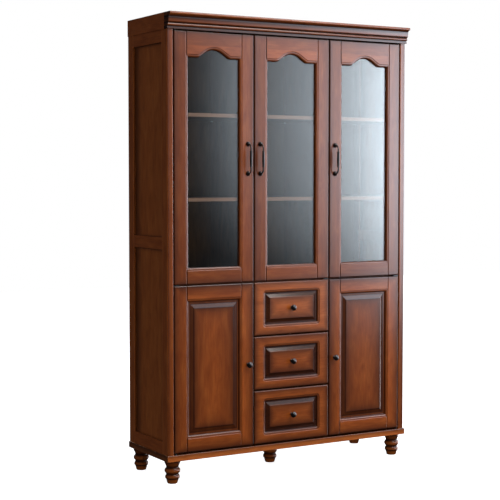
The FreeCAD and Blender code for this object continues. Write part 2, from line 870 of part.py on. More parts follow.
# Cupboard doors with raised panels
knob_z = (lower_bottom + lower_top) / 2
for column, side, name in zip(cupboard_columns, cupboard_hinge_sides, cupboard_door_names):
    left = door_lefts[column]
    right = left + door_width
    knob_x = hinge_edge(column, -side) + side * face_width / 2
    stiles = door_stiles(left, lower_bottom, lower_top, panel_tail)
    rails = [
        straight_rail(left, lower_bottom, 1, panel_tail, stiles),
        straight_rail(left, lower_top, -1, panel_tail, stiles),
    ]
    holes = [screw_hole(knob_x, knob_z, front_y, door_back_y)]
    holes += pivot_bores(column, side, lower_bottom, lower_top)
    keep(name + "_stiles", [without(stile, holes) for stile in stiles])
    keep(name + "_rails", rails)

    tongue_edge = panel_groove_line + panel_tongue_play
    field_edge = frame_width + panel_margin
    panel_y = front_y + lip_depth
    tongue = board(
        (left + tongue_edge, panel_y, lower_bottom + tongue_edge),
        (right - tongue_edge, front_y + panel_back_depth, lower_top - tongue_edge))
    field = raised_field(
        (left + field_edge, right - field_edge), (lower_bottom + field_edge, lower_top - field_edge),
        panel_y, panel_bevel_width, panel_bevel_height)
    keep(name + "_panel", [joined(tongue, [mirrored_in_y(field)])])
    keep(name + "_knob", knob(knob_x, knob_z, front_y, door_back_y))


# Drawers
def soft_rectangle(x_span, z_span, y, radius):
    """Flat rectangle with rounded corners."""
    near = radius * (1 - diagonal_share)
    left, right = x_span
    low, high = z_span
    return outline(Vector(left + radius, y, low), [
        Vector(right - radius, y, low),
        (Vector(right - near, y, low + near), Vector(right, y, low + radius)),
        Vector(right, y, high - radius),
        (Vector(right - near, y, high - near), Vector(right - radius, y, high)),
        Vector(left + radius, y, high),
        (Vector(left + near, y, high - near), Vector(left, y, high - radius)),
        Vector(left, y, low + radius),
        (Vector(left + near, y, low + near), Vector(left + radius, y, low)),
    ])


def drawer_front(left, z_low, z_high):
    """Front cut from one board: stepped and rounded border around a raised field."""
    right = left + door_width
    front = board((left, front_y, z_low), (right, door_back_y, z_high))
    front = rounded(front, edge_round, lambda b: level(b.YMin, b.YMax, front_y))
    step_y = front_y + step_depth
    floor_y = front_y + drawer_recess_depth
    face_x = (left + drawer_side_border, right - drawer_side_border)
    face_z = (z_low + drawer_border, z_high - drawer_border)
    step = soft_rectangle(
        face_x, face_z, front_y - overrun, drawer_corner_radius + drawer_moulding_width)
    front = without(front, [step.extrude(Vector(0, step_depth + overrun, 0))])
    front = rounded(
        front, face_round, lambda b: level(b.YMin, b.YMax, front_y) and within(b, face_x, face_z))
    inner_x = drawer_side_border + drawer_moulding_width
    inner_z = drawer_border + drawer_moulding_width
    x_span = (left + inner_x, right - inner_x)
    z_span = (z_low + inner_z, z_high - inner_z)
    recess = soft_rectangle(x_span, z_span, front_y - overrun, drawer_corner_radius)
    front = without(front, [recess.extrude(Vector(0, drawer_recess_depth + overrun, 0))])
    front = rounded(
        front, drawer_ovolo_radius, lambda b: level(b.YMin, b.YMax, step_y) and within(b, x_span, z_span))
    edge_x = inner_x + drawer_margin
    edge_z = inner_z + drawer_margin
    field = raised_field(
        (left + edge_x, right - edge_x), (z_low + edge_z, z_high - edge_z), floor_y,
        drawer_bevel_width, drawer_bevel_height)
    return joined(front, [mirrored_in_y(field)])


def slide_channel(wall_x, turn, height, z):
    """Channel with its web on a wall and its flanges turned away from it."""
    reach = slide_space - slide_wall - slide_clearance
    half = height / 2
    y_low = inner_front_y + slide_setback
    y_high = inner_back_y - slide_back_gap
    outer = [wall_x, wall_x + turn * reach]
    inner = [wall_x + turn * slide_wall, wall_x + turn * (reach + overrun)]
    channel = board((min(outer), y_low, z - half), (max(outer), y_high, z + half))
    hollow = board(
        (min(inner), y_low - overrun, z - half + slide_wall),
        (max(inner), y_high + overrun, z + half - slide_wall))
    return without(channel, [hollow])


drawer_column = column_count // 2
drawer_names = ["bottom_drawer", "middle_drawer", "top_drawer"]
drawer_left = door_lefts[drawer_column]
drawer_middle = drawer_left + door_width / 2
wall_left = column_lefts[drawer_column]
wall_right = column_rights[drawer_column]
box_left = wall_left + slide_space
box_right = wall_right - slide_space
box_front_y = door_back_y
box_back_y = inner_back_y - drawer_box_back_gap
inner_slide_height = slide_height - 2 * slide_wall - 2 * slide_clearance
drawer_face_y = front_y + drawer_recess_depth - drawer_bevel_height
slide_rails = []
for name, z_low in zip(drawer_names, drawer_bottoms):
    z_high = z_low + drawer_height
    knob_height = (z_low + z_high) / 2
    box_low = z_low + drawer_box_rise
    box_high = box_low + drawer_box_height
    bottom_low = box_low + drawer_bottom_rise
    hole = screw_hole(drawer_middle, knob_height, front_y, box_front_y + drawer_wall)
    keep(name + "_front", [without(drawer_front(drawer_left, z_low, z_high), [hole])])

    bottom_reach = drawer_wall - drawer_bottom_groove
    bottom = board(
        (box_left + bottom_reach, box_front_y + bottom_reach, bottom_low),
        (box_right - bottom_reach, box_back_y - bottom_reach, bottom_low + drawer_bottom))
    walls = [
        board((box_left, box_front_y, box_low), (box_left + drawer_wall, box_back_y, box_high)),
        board((box_right - drawer_wall, box_front_y, box_low), (box_right, box_back_y, box_high)),
        board((box_left + drawer_wall, box_front_y, box_low),
              (box_right - drawer_wall, box_front_y + drawer_wall, box_high)),
        board((box_left + drawer_wall, box_back_y - drawer_wall, box_low),
              (box_right - drawer_wall, box_back_y, box_high)),
    ]
    keep(name + "_box", [without(wall, [bottom, hole]) for wall in walls] + [bottom])
    keep(name + "_knob", knob(drawer_middle, knob_height, drawer_face_y, box_front_y + drawer_wall))

    slide_z = (box_low + box_high) / 2
    slide_rails.append(slide_channel(wall_left, 1, slide_height, slide_z))
    slide_rails.append(slide_channel(wall_right, -1, slide_height, slide_z))
    keep(name + "_slides", [
        slide_channel(box_left, -1, inner_slide_height, slide_z),
        slide_channel(box_right, 1, inner_slide_height, slide_z),
    ])
keep("slide_rails", slide_rails)
keep("lower_partitions", [without(wall, pins) for wall in lower_partitions])

os.makedirs("parts", exist_ok=True)
for name, solids in nodes.items():
    shape = solids[0] if len(solids) == 1 else Part.makeCompound(solids)
    shape.exportStep("parts/" + name + ".step")
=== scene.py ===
# %% [markdown]
# # Dressing a bookcase with glass doors
# The solids of this bookcase come ready from the imported model, in nodes with names: the
# stiles of a door, its rails, its pane, its handle, the shelves and so on. The lesson gives
# them their finish, adds the small fittings that are too fine for the solids, and sets up a
# studio and a camera for a picture of the result. Loading comes first, because every later
# step asks the model where its pieces are.

# %% Load the imported bookcase
import math
import bmesh
import bpy
from mathutils import Matrix, Vector


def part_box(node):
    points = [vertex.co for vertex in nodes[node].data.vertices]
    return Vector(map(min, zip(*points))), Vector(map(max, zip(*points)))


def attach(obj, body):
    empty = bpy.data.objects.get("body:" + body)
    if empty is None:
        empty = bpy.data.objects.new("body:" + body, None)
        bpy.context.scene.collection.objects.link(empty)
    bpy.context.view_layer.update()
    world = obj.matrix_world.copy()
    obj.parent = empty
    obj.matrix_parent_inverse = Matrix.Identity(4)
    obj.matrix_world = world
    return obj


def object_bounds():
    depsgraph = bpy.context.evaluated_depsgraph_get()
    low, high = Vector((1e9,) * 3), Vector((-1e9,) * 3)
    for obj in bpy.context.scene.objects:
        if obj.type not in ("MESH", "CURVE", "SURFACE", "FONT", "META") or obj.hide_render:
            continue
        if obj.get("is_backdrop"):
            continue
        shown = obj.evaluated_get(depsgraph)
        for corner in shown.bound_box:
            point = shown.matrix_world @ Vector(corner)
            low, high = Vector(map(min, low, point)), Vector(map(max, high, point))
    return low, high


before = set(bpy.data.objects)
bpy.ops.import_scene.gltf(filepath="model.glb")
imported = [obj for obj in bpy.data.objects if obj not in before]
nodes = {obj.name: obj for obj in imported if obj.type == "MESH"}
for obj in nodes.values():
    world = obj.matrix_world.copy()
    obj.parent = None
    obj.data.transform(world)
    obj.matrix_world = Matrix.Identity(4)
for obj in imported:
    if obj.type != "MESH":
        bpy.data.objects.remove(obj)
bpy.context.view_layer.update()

mm = 0.001

# %% [markdown]
# ## Camera
# The picture to match was taken from the left, at chest height, with a long lens. A camera
# can be placed by eye, or worked out from points that are known on the object. Here the
# second way was used, which gave a place, a heading and a focal length in pixels. A small
# shift, as on a view camera, sets how high the case stands in the picture.

# %% Set up the camera
frame_pixels = 500
focal_pixels = 1306.8
sensor_width = 36
lens_shift = -0.014
camera_place = (-3.1047, -5.1027, 1.3065)
camera_heading = math.radians(30.443)
camera_tilt = math.radians(2.852)
camera = bpy.data.objects.new("camera", bpy.data.cameras.new("camera"))
camera.data.sensor_width = sensor_width
camera.data.lens = focal_pixels / frame_pixels * sensor_width
camera.data.shift_y = lens_shift
camera.location = camera_place
camera.rotation_euler = (math.pi / 2 - camera_tilt, 0, -camera_heading)
bpy.context.scene.collection.objects.link(camera)
bpy.context.scene.camera = camera
bpy.context.scene.view_settings.view_transform = "Standard"
print("lens", round(camera.data.lens, 1), "mm")

# %% [markdown]
# ## Helpers for materials
# Colours are easiest to read as the hex values of a paint card, but a renderer adds light
# with linear numbers, so one function turns the one into the other. A second function adds
# a node, sets its properties and fills its inputs, whether with a value or with a link. A
# colour ramp also takes a list of stops, each with a colour or, for grey, with one number.

# %% Helpers: colour, node and material
def linear(hex_colour):
    """Linear red, green, blue and alpha of an sRGB hex colour."""
    made = []
    for place in (1, 3, 5):
        share = int(hex_colour[place:place + 2], 16) / 255
        made.append(share / 12.92 if share <= 0.04045 else ((share + 0.055) / 1.055) ** 2.4)
    return (*made, 1.0)


def add(tree, kind, inputs=None, stops=(), **settings):
    """One node with its settings. An input takes a value, or a link from a socket."""
    made = tree.nodes.new("ShaderNode" + kind)
    for name, value in settings.items():
        setattr(made, name, value)
    for key, value in (inputs or {}).items():
        if isinstance(value, bpy.types.NodeSocket):
            tree.links.new(value, made.inputs[key])
        else:
            made.inputs[key].default_value = value
    if stops:
        made.color_ramp.elements.remove(made.color_ramp.elements[1])
        made.color_ramp.elements[0].position = stops[0][0]
    for number, (place, colour) in enumerate(stops):
        stop = made.color_ramp.elements.new(place) if number else made.color_ramp.elements[0]
        stop.color = colour if isinstance(colour, tuple) else (colour, colour, colour, 1.0)
    return made


def new_finish(name, inputs):
    """Material with its shader's constant inputs set. Returns it, its tree and the shader."""
    made = bpy.data.materials.new(name)
    made.use_nodes = True
    shader = made.node_tree.nodes["Principled BSDF"]
    for key, value in inputs.items():
        shader.inputs[key].default_value = value
    return made, made.node_tree, shader


print("white is", linear("#ffffff"))

# %% [markdown]
# ## Studio
# A white cove and soft boxes light furniture for a catalogue. The front here is lit from
# above and from the front, so the left side falls into shade. The floor is matt paper and
# stays out of reflections, as a black card in front of it would do. The surroundings are
# brighter above than below, so that mouldings show their undersides dark. The camera sees
# them white, and the gloss sees them almost dark, so that only soft boxes shine in it.

# %% Floor
def place_mesh(name, shape, finish):
    """New mesh object at the origin from a bmesh, which is freed."""
    mesh = bpy.data.meshes.new(name)
    shape.to_mesh(mesh)
    shape.free()
    mesh.materials.append(finish)
    made = bpy.data.objects.new(name, mesh)
    bpy.context.scene.collection.objects.link(made)
    return made


floor_half = 9.0
mottle_share = 0.4  # of the floor's width
paper, tree, shader = new_finish("matt paper", {
    "Roughness": 0.95, "Emission Strength": 0.92, "Emission Color": linear("#ffffff")})
mottle = add(tree, "TexNoise", {"Scale": 1 / mottle_share, "Detail": 3.0})
paper_tone = add(tree, "ValToRGB", {"Fac": mottle.outputs["Fac"]},
                 ((0, linear("#f1f1f0")), (1, linear("#f6f6f5"))))
tree.links.new(paper_tone.outputs["Color"], shader.inputs["Base Color"])
sheet = bmesh.new()
bmesh.ops.create_grid(sheet, x_segments=2, y_segments=2, size=floor_half)
floor = place_mesh("floor", sheet, paper)
floor.visible_glossy = False
floor.visible_diffuse = False
floor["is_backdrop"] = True
print("floor", 2 * floor_half, "m wide")

# %% Surroundings
cove_tint = linear("#dfe3ee")
cove_slope = (-0.5, 0.6)
cove_light = (0.1, 0.62)
cove_in_gloss = 0.015
surroundings = bpy.data.worlds.new("white cove")
bpy.context.scene.world = surroundings
surroundings.use_nodes = True
tree = surroundings.node_tree
rays = add(tree, "LightPath")
way = add(tree, "TexCoord")
height = add(tree, "SeparateXYZ", {"Vector": way.outputs["Generated"]})
from_above = add(tree, "MapRange", {
    "Value": height.outputs["Z"], "From Min": cove_slope[0], "From Max": cove_slope[1],
    "To Min": cove_light[0], "To Max": cove_light[1]})
ambient = add(tree, "Background", {"Color": cove_tint, "Strength": from_above.outputs[0]})
dim = add(tree, "Background", {"Color": cove_tint, "Strength": cove_in_gloss})
white = add(tree, "Background", {"Color": linear("#ffffff"), "Strength": 1.0})
glossy = add(tree, "MixShader", {
    0: rays.outputs["Is Glossy Ray"], 1: ambient.outputs[0], 2: dim.outputs[0]})
seen = add(tree, "MixShader", {
    0: rays.outputs["Is Camera Ray"], 1: glossy.outputs[0], 2: white.outputs[0]})
tree.links.new(seen.outputs[0], tree.nodes["World Output"].inputs["Surface"])
print("surroundings", surroundings.name, "from", cove_light[0], "to", cove_light[1])

# %% [markdown]
# ## Soft boxes
# Each lamp is a rectangle with a brightness of its own, turned to face a point. The right,
# side and high boxes are there for the gloss alone and light nothing by themselves, and
# the fill box is the other way round, seen in no gloss. The side box reaches below the
# level of the floor, which does no harm, because the floor stays out of reflections.

# %% Soft boxes
def soft_box(name, place, aim, size, radiance, tint):
    """Rectangular lamp of a given brightness, turned to face a point."""
    lamp = bpy.data.lights.new(name, "AREA")
    lamp.shape = "RECTANGLE"
    lamp.size, lamp.size_y = size
    lamp.energy = radiance * math.pi * size[0] * size[1]
    lamp.color = linear(tint)[:3]
    made = bpy.data.objects.new(name, lamp)
    made.location = place
    made.rotation_euler = (Vector(aim) - Vector(place)).to_track_quat("-Z", "Y").to_euler()
    made.visible_camera = False
    bpy.context.scene.collection.objects.link(made)
    return made


right_box = soft_box("right_box", place=(2.81, -3.77, 1.9), aim=(-0.29, -0.47, 1.9),
                     size=(3.6, 3.6), radiance=10.0, tint="#eaf1ff")
soft_box("top_box", place=(0.9, -2.6, 3.7), aim=(0, -0.2, 0.7),
         size=(2.3, 1.3), radiance=9.0, tint="#fffaf4")
fill_box = soft_box("fill_box", place=(-0.9, -4.8, 0.75), aim=(0, -0.2, 0.6),
                    size=(2.0, 1.4), radiance=8.6, tint="#fff6ec")
side_box = soft_box("side_box", place=(4.5, 0.0, 1.1), aim=(0, -0.1, 1.1),
                    size=(2.6, 4.2), radiance=6.5, tint="#ffecee")
high_box = soft_box("high_box", place=(1.4, -1.2, 4.2), aim=(0, -0.2, 0.7),
                    size=(2.6, 1.8), radiance=3.0, tint="#ffecee")
soft_box("front_box", place=(0.9, -4.2, 2.85), aim=(-0.3, -0.2, 1.8),
         size=(3.2, 0.8), radiance=1.3, tint="#eef2ff")
soft_box("back_box", place=(0.6, 4.5, 2.4), aim=(0, 0.2, 1.0),
         size=(2.4, 2.4), radiance=3.0, tint="#fffaf4")
for gloss_box in (right_box, side_box, high_box):
    gloss_box.visible_diffuse = False
fill_box.visible_glossy = False
print("lamps", len(bpy.data.lights))

# %% [markdown]
# ## Fade of the right box
# A real soft box is brighter in the middle than at its rim. Here the fade is drawn with two
# ramps, one across the box and one up it along a leaning line, because that reflection
# lies over the lacquer and the glass: it fades to the left, and from the middle up and down.

# %% Fade the right box
fade_across = ((0.0, 0.0), (0.12, 0.01), (0.17, 0.06), (0.21, 0.14), (0.25, 0.23), (0.28, 0.18),
               (0.32, 0.17), (0.41, 0.32), (0.5, 0.52), (0.56, 0.76), (0.6, 1.0), (0.8, 1.1),
               (1.0, 0.5))
fade_up = ((0.0, 0.12), (0.06, 0.26), (0.14, 0.56), (0.24, 0.85), (0.36, 1.0), (0.5, 0.96),
           (0.62, 0.8), (0.72, 0.45), (1.0, 0.4))
fade_lean = 0.4
fade_pivot = 0.62
right_box.data.use_nodes = True
tree = right_box.data.node_tree
spot = add(tree, "NewGeometry")
split = add(tree, "SeparateXYZ", {"Vector": spot.outputs["Parametric"]})
aside = add(tree, "Math", {0: split.outputs["X"], 1: fade_pivot}, operation="SUBTRACT")
leaning = add(tree, "Math", {0: aside.outputs[0], 1: fade_lean, 2: split.outputs["Y"]},
              operation="MULTIPLY_ADD")
across = add(tree, "ValToRGB", {"Fac": split.outputs["X"]}, fade_across)
up = add(tree, "ValToRGB", {"Fac": leaning.outputs[0]}, fade_up)
faded = add(tree, "Math", {0: across.outputs["Color"], 1: up.outputs["Color"]},
            operation="MULTIPLY")
tree.links.new(faded.outputs[0], tree.nodes["Emission"].inputs["Strength"])
print("stops across", len(fade_across), "and up", len(fade_up))

# %% [markdown]
# ## Grain of birch
# The case is birch, stained reddish brown, glazed and lacquered. Birch has a faint, even
# figure, so the grain is three layers of stretched noise: slow figure, streaks and pores.
# Real pores are much finer and are drawn coarser here, or they would not show. A noise in
# Object coordinates runs through a board as real grain does; turning the coordinates before
# they are stretched lays the grain along the length of each board. End grain is where a
# face looks along the grain, and it drinks more stain than the sides do.

# %% Grain
grain_turns = {"upright": (0, 0, 0), "level": (0, math.pi / 2, 0), "deep": (math.pi / 2, 0, 0)}
grain_axes = {"upright": (0, 0, 1), "level": (1, 0, 0), "deep": (0, 1, 0)}
figure_layer = (38 * mm, 130 * mm, 3.0, 0.8)
streak_layer = (5.5 * mm, 60 * mm, 4.0, 0.3)
pore_layer = (1.6 * mm, 14 * mm, 2.0, 0.0)
end_facing = (0.7, 0.95)


def grain_noise(tree, coordinates, layer):
    """Noise stretched along Z. A layer has a width, a length, a detail and a bend."""
    width, length, detail, bend = layer
    stretched = add(tree, "Mapping", {
        "Vector": coordinates, "Scale": (1 / width, 1 / width, 1 / length)})
    made = add(tree, "TexNoise", {
        "Vector": stretched.outputs[0], "Scale": 1.0, "Detail": detail, "Distortion": bend})
    return made.outputs["Fac"]


def birch_grain(tree, place, grain):
    """Figure, streaks, pores and end grain of one grain direction, each from 0 to 1."""
    turned = add(tree, "Mapping", {
        "Vector": place.outputs["Object"], "Rotation": grain_turns[grain]})
    figure = grain_noise(tree, turned.outputs[0], figure_layer)
    streaks = grain_noise(tree, turned.outputs[0], streak_layer)
    pores = grain_noise(tree, turned.outputs[0], pore_layer)
    facing = add(tree, "VectorMath", {0: place.outputs["Normal"], 1: grain_axes[grain]},
                 operation="DOT_PRODUCT")
    either_way = add(tree, "Math", {0: facing.outputs["Value"]}, operation="ABSOLUTE")
    end_grain = add(tree, "MapRange", {
        "Value": either_way.outputs[0], "From Min": end_facing[0], "From Max": end_facing[1]})
    return figure, streaks, pores, end_grain.outputs[0]


print("grain directions", list(grain_turns))

# %% [markdown]
# ## Glaze and painted shade
# A finisher wipes dark glaze over the stain and leaves it at the joints, and sprays a soft
# toner around each leaf and field. The same dark colour also paints shade into corners,
# recesses and gaps, onto bevels and into hollows. Corners are found with ambient occlusion,
# which traces how closed in a point is, by the piece's own shape or by its neighbours too.
# The shade follows the leaves, which repeat evenly, so folding the coordinates to and fro
# gives the distance from the nearest leaf edge for all of them at once. A ramp then reads
# the shade from that distance, as a sample board would show it.

# %% Shade by distance
shade_reach = 200 * mm


def shade_by_distance(tree, coordinates, axes, shade):
    """Shade by the distance from the nearest edge, along one axis or two.

    An axis is a letter, a start and a pitch. A shade is a list of distances in mm, each with
    a share from 0 to 1."""
    split = add(tree, "SeparateXYZ", {"Vector": coordinates})
    ways = []
    for axis, start, pitch in axes:
        moved = add(tree, "Math", {0: split.outputs[axis], 1: start}, operation="SUBTRACT")
        folded = add(tree, "Math", {0: moved.outputs[0], 1: pitch / 2}, operation="PINGPONG")
        ways.append(folded.outputs[0])
    nearest = add(tree, "Math", {0: ways[0], 1: ways[-1]}, operation="MINIMUM")
    share = add(tree, "Math", {0: nearest.outputs[0], 1: shade_reach}, operation="DIVIDE")
    stops = [(reach * mm / shade_reach, amount) for reach, amount in shade]
    return add(tree, "ValToRGB", {"Fac": share.outputs[0]}, stops).outputs["Color"]


print("shade lists reach", shade_reach / mm, "mm")

# %% Glaze and painted shade in corners and by distance
traced_rays = 6
noise_low, noise_high = 0.3, 0.7
closed_in, wide_open = 0.3, 0.9
corner_glaze_and_shade = 0.92
glaze_and_shade_thin, glaze_and_shade_thick = 0.9, 1.02


def glaze_and_shade_mask(tree, coordinates, corner_reach, alone, shade_layers, unevenness):
    """How much glaze and painted shade lie at each point, from 0 to 1."""
    # Ambient occlusion paints shade into corners and, with neighbours traced, around handles and knobs.
    corner = add(tree, "AmbientOcclusion", {"Distance": corner_reach}, samples=traced_rays,
                 only_local=alone)
    in_corner = add(tree, "MapRange", {
        "Value": corner.outputs["AO"], "From Min": closed_in, "From Max": wide_open,
        "To Min": corner_glaze_and_shade, "To Max": 0.0})
    total = in_corner.outputs[0]
    for axes, shade in shade_layers:
        layer = shade_by_distance(tree, coordinates, axes, shade)
        total = add(tree, "Math", {0: total, 1: layer}, operation="MAXIMUM").outputs[0]
    uneven = add(tree, "MapRange", {
        "Value": unevenness, "From Min": noise_low, "From Max": noise_high,
        "To Min": glaze_and_shade_thin, "To Max": glaze_and_shade_thick})
    worked = add(tree, "Math", {0: total, 1: uneven.outputs[0]}, operation="MULTIPLY",
                 use_clamp=True)
    return worked.outputs[0]


print("glaze in corners", corner_glaze_and_shade)

# %% [markdown]
# ## Stain
# Stain sinks into the grain, so its tone follows the figure, darker in some streaks and
# much darker on end grain. A list may give the lightness of each board by its place across
# the front, in mm, which one ramp reads for all doors. Part of that lightness is how boards
# take the stain unalike, and part is painted light that evens out the light over the front.

# %% Where the leaves lie
left_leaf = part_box("left_glass_door_stiles")
middle_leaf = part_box("middle_glass_door_stiles")
lower_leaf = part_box("left_cupboard_door_stiles")
column_pitch = middle_leaf[0].x - left_leaf[0].x
column_gap = middle_leaf[0].x - left_leaf[1].x
front_start = left_leaf[0].x - column_gap / 2
front_width = 3 * column_pitch
print("column pitch", round(column_pitch / mm, 2), "mm, gap", round(column_gap / mm, 2), "mm")

# %% Stain the wood
wood_stain = ("#75360f", "#854217", "#95501f")
stain_places = (0.18, 0.5, 0.84)
streak_dark, streak_light = 0.84, 1.13
end_lightness = 0.35
mix_share, mix_under, mix_over, mixed = 0, 6, 7, 2


def stained(tree, x, figure, streaks, end_grain, stain, board_and_light_tones):
    """Colour of the stained wood, from its grain and from its board's place across the front."""
    tone = add(tree, "ValToRGB", {"Fac": figure}, [
        (place, linear(colour)) for place, colour in zip(stain_places, stain)])
    darker = add(tree, "MapRange", {
        "Value": streaks, "From Min": noise_low, "From Max": noise_high,
        "To Min": streak_dark, "To Max": streak_light})
    drunk = add(tree, "MapRange", {"Value": end_grain, "To Min": 1.0, "To Max": end_lightness})
    depth = add(tree, "Math", {0: darker.outputs[0], 1: drunk.outputs[0]},
                operation="MULTIPLY").outputs[0]
    if board_and_light_tones:
        # Lightness by place across the front: partly board tones, partly painted light.
        across = add(tree, "MapRange", {
            "Value": x, "From Min": front_start, "From Max": front_start + front_width})
        board = add(tree, "ValToRGB", {"Fac": across.outputs[0]},
                    [(reach * mm / front_width, lightness) for reach, lightness in board_and_light_tones])
        depth = add(tree, "Math", {0: depth, 1: board.outputs["Color"]},
                    operation="MULTIPLY").outputs[0]
    return add(tree, "Mix", {mix_share: 1.0, mix_under: tone.outputs["Color"], mix_over: depth},
               data_type="RGBA", blend_type="MULTIPLY").outputs[mixed]


print("stain", wood_stain)

# %% [markdown]
# ## Edges
# The front edge of a shelf carries a band of pale veneer, which is found by its depth. Some
# edges are also made lighter before the glaze goes on. Ambient occlusion finds those edges
# when it looks inwards, where an edge has little behind it.

# %% Band and lighten the edges
edge_veneer = "#b98a7a"
veneer_depth = 1.5 * mm
lighter_edge_colour = "#b96a33"
lightening_reach = 5 * mm
thin_behind, thick_behind = 0.5, 0.95


def banded(tree, y, wood, veneer_y):
    """Wood with a band of pale veneer on the front edge."""
    in_band = add(tree, "Math", {0: y, 1: veneer_y + veneer_depth}, operation="LESS_THAN")
    return add(tree, "Mix", {
        mix_share: in_band.outputs[0], mix_under: wood, mix_over: linear(edge_veneer)},
        data_type="RGBA").outputs[mixed]


def lightened_edges(tree, wood, edge_lightening):
    """Wood with its edges made lighter by a share."""
    inward = add(tree, "AmbientOcclusion", {"Distance": lightening_reach}, samples=traced_rays,
                 inside=True, only_local=True)
    on_edge = add(tree, "MapRange", {
        "Value": inward.outputs["AO"], "From Min": thin_behind, "From Max": thick_behind,
        "To Min": edge_lightening, "To Max": 0.0})
    return add(tree, "Mix", {
        mix_share: on_edge.outputs[0], mix_under: wood, mix_over: linear(lighter_edge_colour)},
        data_type="RGBA").outputs[mixed]


print("veneer", veneer_depth / mm, "mm, rubbed", lightening_reach / mm, "mm")

# %% [markdown]
# ## Lacquer over the stain
# The finish is put together from the inside out: stain in the grain, some edges lighter,
# glaze and painted shade over it, clear satin lacquer on top. The lacquer is the shader's
# coat, a sharper gloss over the duller wood, and it is what reflects the soft boxes. It
# rounds all sharp edges a little, which the bevel node does for the light alone, and the
# grain still shows in it as a slight relief.

# %% Build the wood finish
umber_glaze_and_shade = "#180806"
edge_reach = 1.6 * mm
edge_rays = 4
rough_low, rough_high = 0.44, 0.34
relief_strength = 0.1
relief_height = 0.3 * mm


def lacquered(tree, shader, streaks, pores):
    """Roughness and relief of the wood under its lacquer, with softened edges."""
    rough = add(tree, "MapRange", {
        "Value": pores, "From Min": noise_low, "From Max": noise_high,
        "To Min": rough_low, "To Max": rough_high})
    tree.links.new(rough.outputs[0], shader.inputs["Roughness"])
    soft = add(tree, "Bevel", {"Radius": edge_reach}, samples=edge_rays)
    relief = add(tree, "Math", {0: streaks, 1: pores}, operation="ADD")
    bump = add(tree, "Bump", {
        "Height": relief.outputs[0], "Strength": relief_strength, "Distance": relief_height,
        "Normal": soft.outputs[0]})
    for socket in ("Normal", "Coat Normal"):
        tree.links.new(bump.outputs[0], shader.inputs[socket])


def stained_birch(name, grain, shade_layers=(), stain=wood_stain, gloss=1.0, corner_reach=14 * mm,
                  alone=True, edge_lightening=0.0, board_and_light_tones=(), veneer_y=None):
    """Birch with its grain along one direction, stained, glazed with painted shade over it, and
    lacquered.
    """
    made, tree, shader = new_finish(name, {
        "IOR": 1.5, "Specular IOR Level": 0.06, "Coat Weight": gloss, "Coat Roughness": 0.17,
        "Coat IOR": 1.5})
    place = add(tree, "TexCoord")
    split = add(tree, "SeparateXYZ", {"Vector": place.outputs["Object"]})
    figure, streaks, pores, end_grain = birch_grain(tree, place, grain)
    wood = stained(tree, split.outputs["X"], figure, streaks, end_grain, stain, board_and_light_tones)
    if veneer_y is not None:
        wood = banded(tree, split.outputs["Y"], wood, veneer_y)
    if edge_lightening:
        wood = lightened_edges(tree, wood, edge_lightening)
    # Glaze and painted shade, mixed over the wood as one dark colour.
    glaze = glaze_and_shade_mask(tree, place.outputs["Object"], corner_reach, alone, shade_layers, streaks)
    glazed = add(tree, "Mix", {
        mix_share: glaze, mix_under: wood, mix_over: linear(umber_glaze_and_shade)}, data_type="RGBA")
    tree.links.new(glazed.outputs[mixed], shader.inputs["Base Color"])
    lacquered(tree, shader, streaks, pores)
    return made


def finish_nodes(finish, *names):
    """Gives CAD nodes one finish and returns how many there were."""
    for name in names:
        nodes[name].data.materials.clear()
        nodes[name].data.materials.append(finish)
    return len(names)


print("glaze", umber_glaze_and_shade, "edges softened by", edge_reach / mm, "mm")

# %% [markdown]
# ## Doors
# Stiles have upright grain and rails level grain. Each finish names its shades: a toner along
# the leaf edges that turns into painted shade in the gaps, painted shade down into the
# moulded inner edge, and a dark joint where a rail meets the stiles. The lists give the
# lightness of the stiles and rails by their place across the front, partly so that
# neighbours differ as real boards do and partly as painted light that evens out the light
# over the front. Corners on a door are traced with the neighbouring pieces, because a rail's
# joint is a corner only with its stile beside it, and so the painted shade in the corners
# also falls around the handles and knobs.

# %% Shades and boards of the doors
far = 2.0
columns = ("X", front_start, column_pitch)
upper_rows = ("Z", left_leaf[0].z, left_leaf[1].z - left_leaf[0].z)
lower_rows = ("Z", lower_leaf[0].z, lower_leaf[1].z - lower_leaf[0].z)
depths = ("Y", left_leaf[0].y, far)
# Toner from the leaf edges, almost black at the edges: painted shade in the gaps.
upper_shade = ((0, 0.95), (3, 0.9), (6, 0.7), (12, 0.55), (22, 0.4), (40, 0.26), (58, 0.28),
               (60, 0.0))
lower_shade = ((0, 0.95), (3, 0.92), (6, 0.78), (12, 0.62), (22, 0.42), (38, 0.18), (50, 0.04),
               (56, 0.0))
# Painted shade that deepens with the depth behind the face, partly glaze.
depth_shade = ((0, 0.0), (1.6, 0.0), (2.8, 0.52), (5, 0.7), (8, 0.84), (12, 0.95), (13.5, 0.95),
               (15, 0.0))
joint_shade = ((0, 0.0), (58, 0.0), (59, 0.95), (63, 0.95), (65, 0.35), (69, 0.0))
# Raised panels: painted shade in the recess and on the bevels, then a toner over the field.
panel_shade = ((0, 0.55), (78, 0.55), (82, 0.92), (86, 0.78), (94, 0.78), (97, 0.93),
               (100, 0.88), (104, 0.66), (112, 0.52), (125, 0.34), (150, 0.14), (185, 0.0))
# Lightness by place across the front, in mm: partly board tones, partly painted light.
upper_stile_board_and_light_tones = ((72, 0.92), (322, 1.24), (391, 1.24), (397, 1.0), (715, 1.12),
                      (784, 1.12), (791, 1.0), (1109, 0.97))
lower_stile_board_and_light_tones = ((8, 1.2), (60, 0.86), (322, 1.2), (391, 1.2), (791, 1.12), (1109, 1.42))
upper_rail_board_and_light_tones = ((391, 1.02), (397, 1.26), (784, 1.26), (791, 1.0))
lower_rail_board_and_light_tones = ((391, 1.1), (791, 1.35))
print("upper leaves", round(upper_rows[2] / mm, 1), "mm, lower", round(lower_rows[2] / mm, 1), "mm")

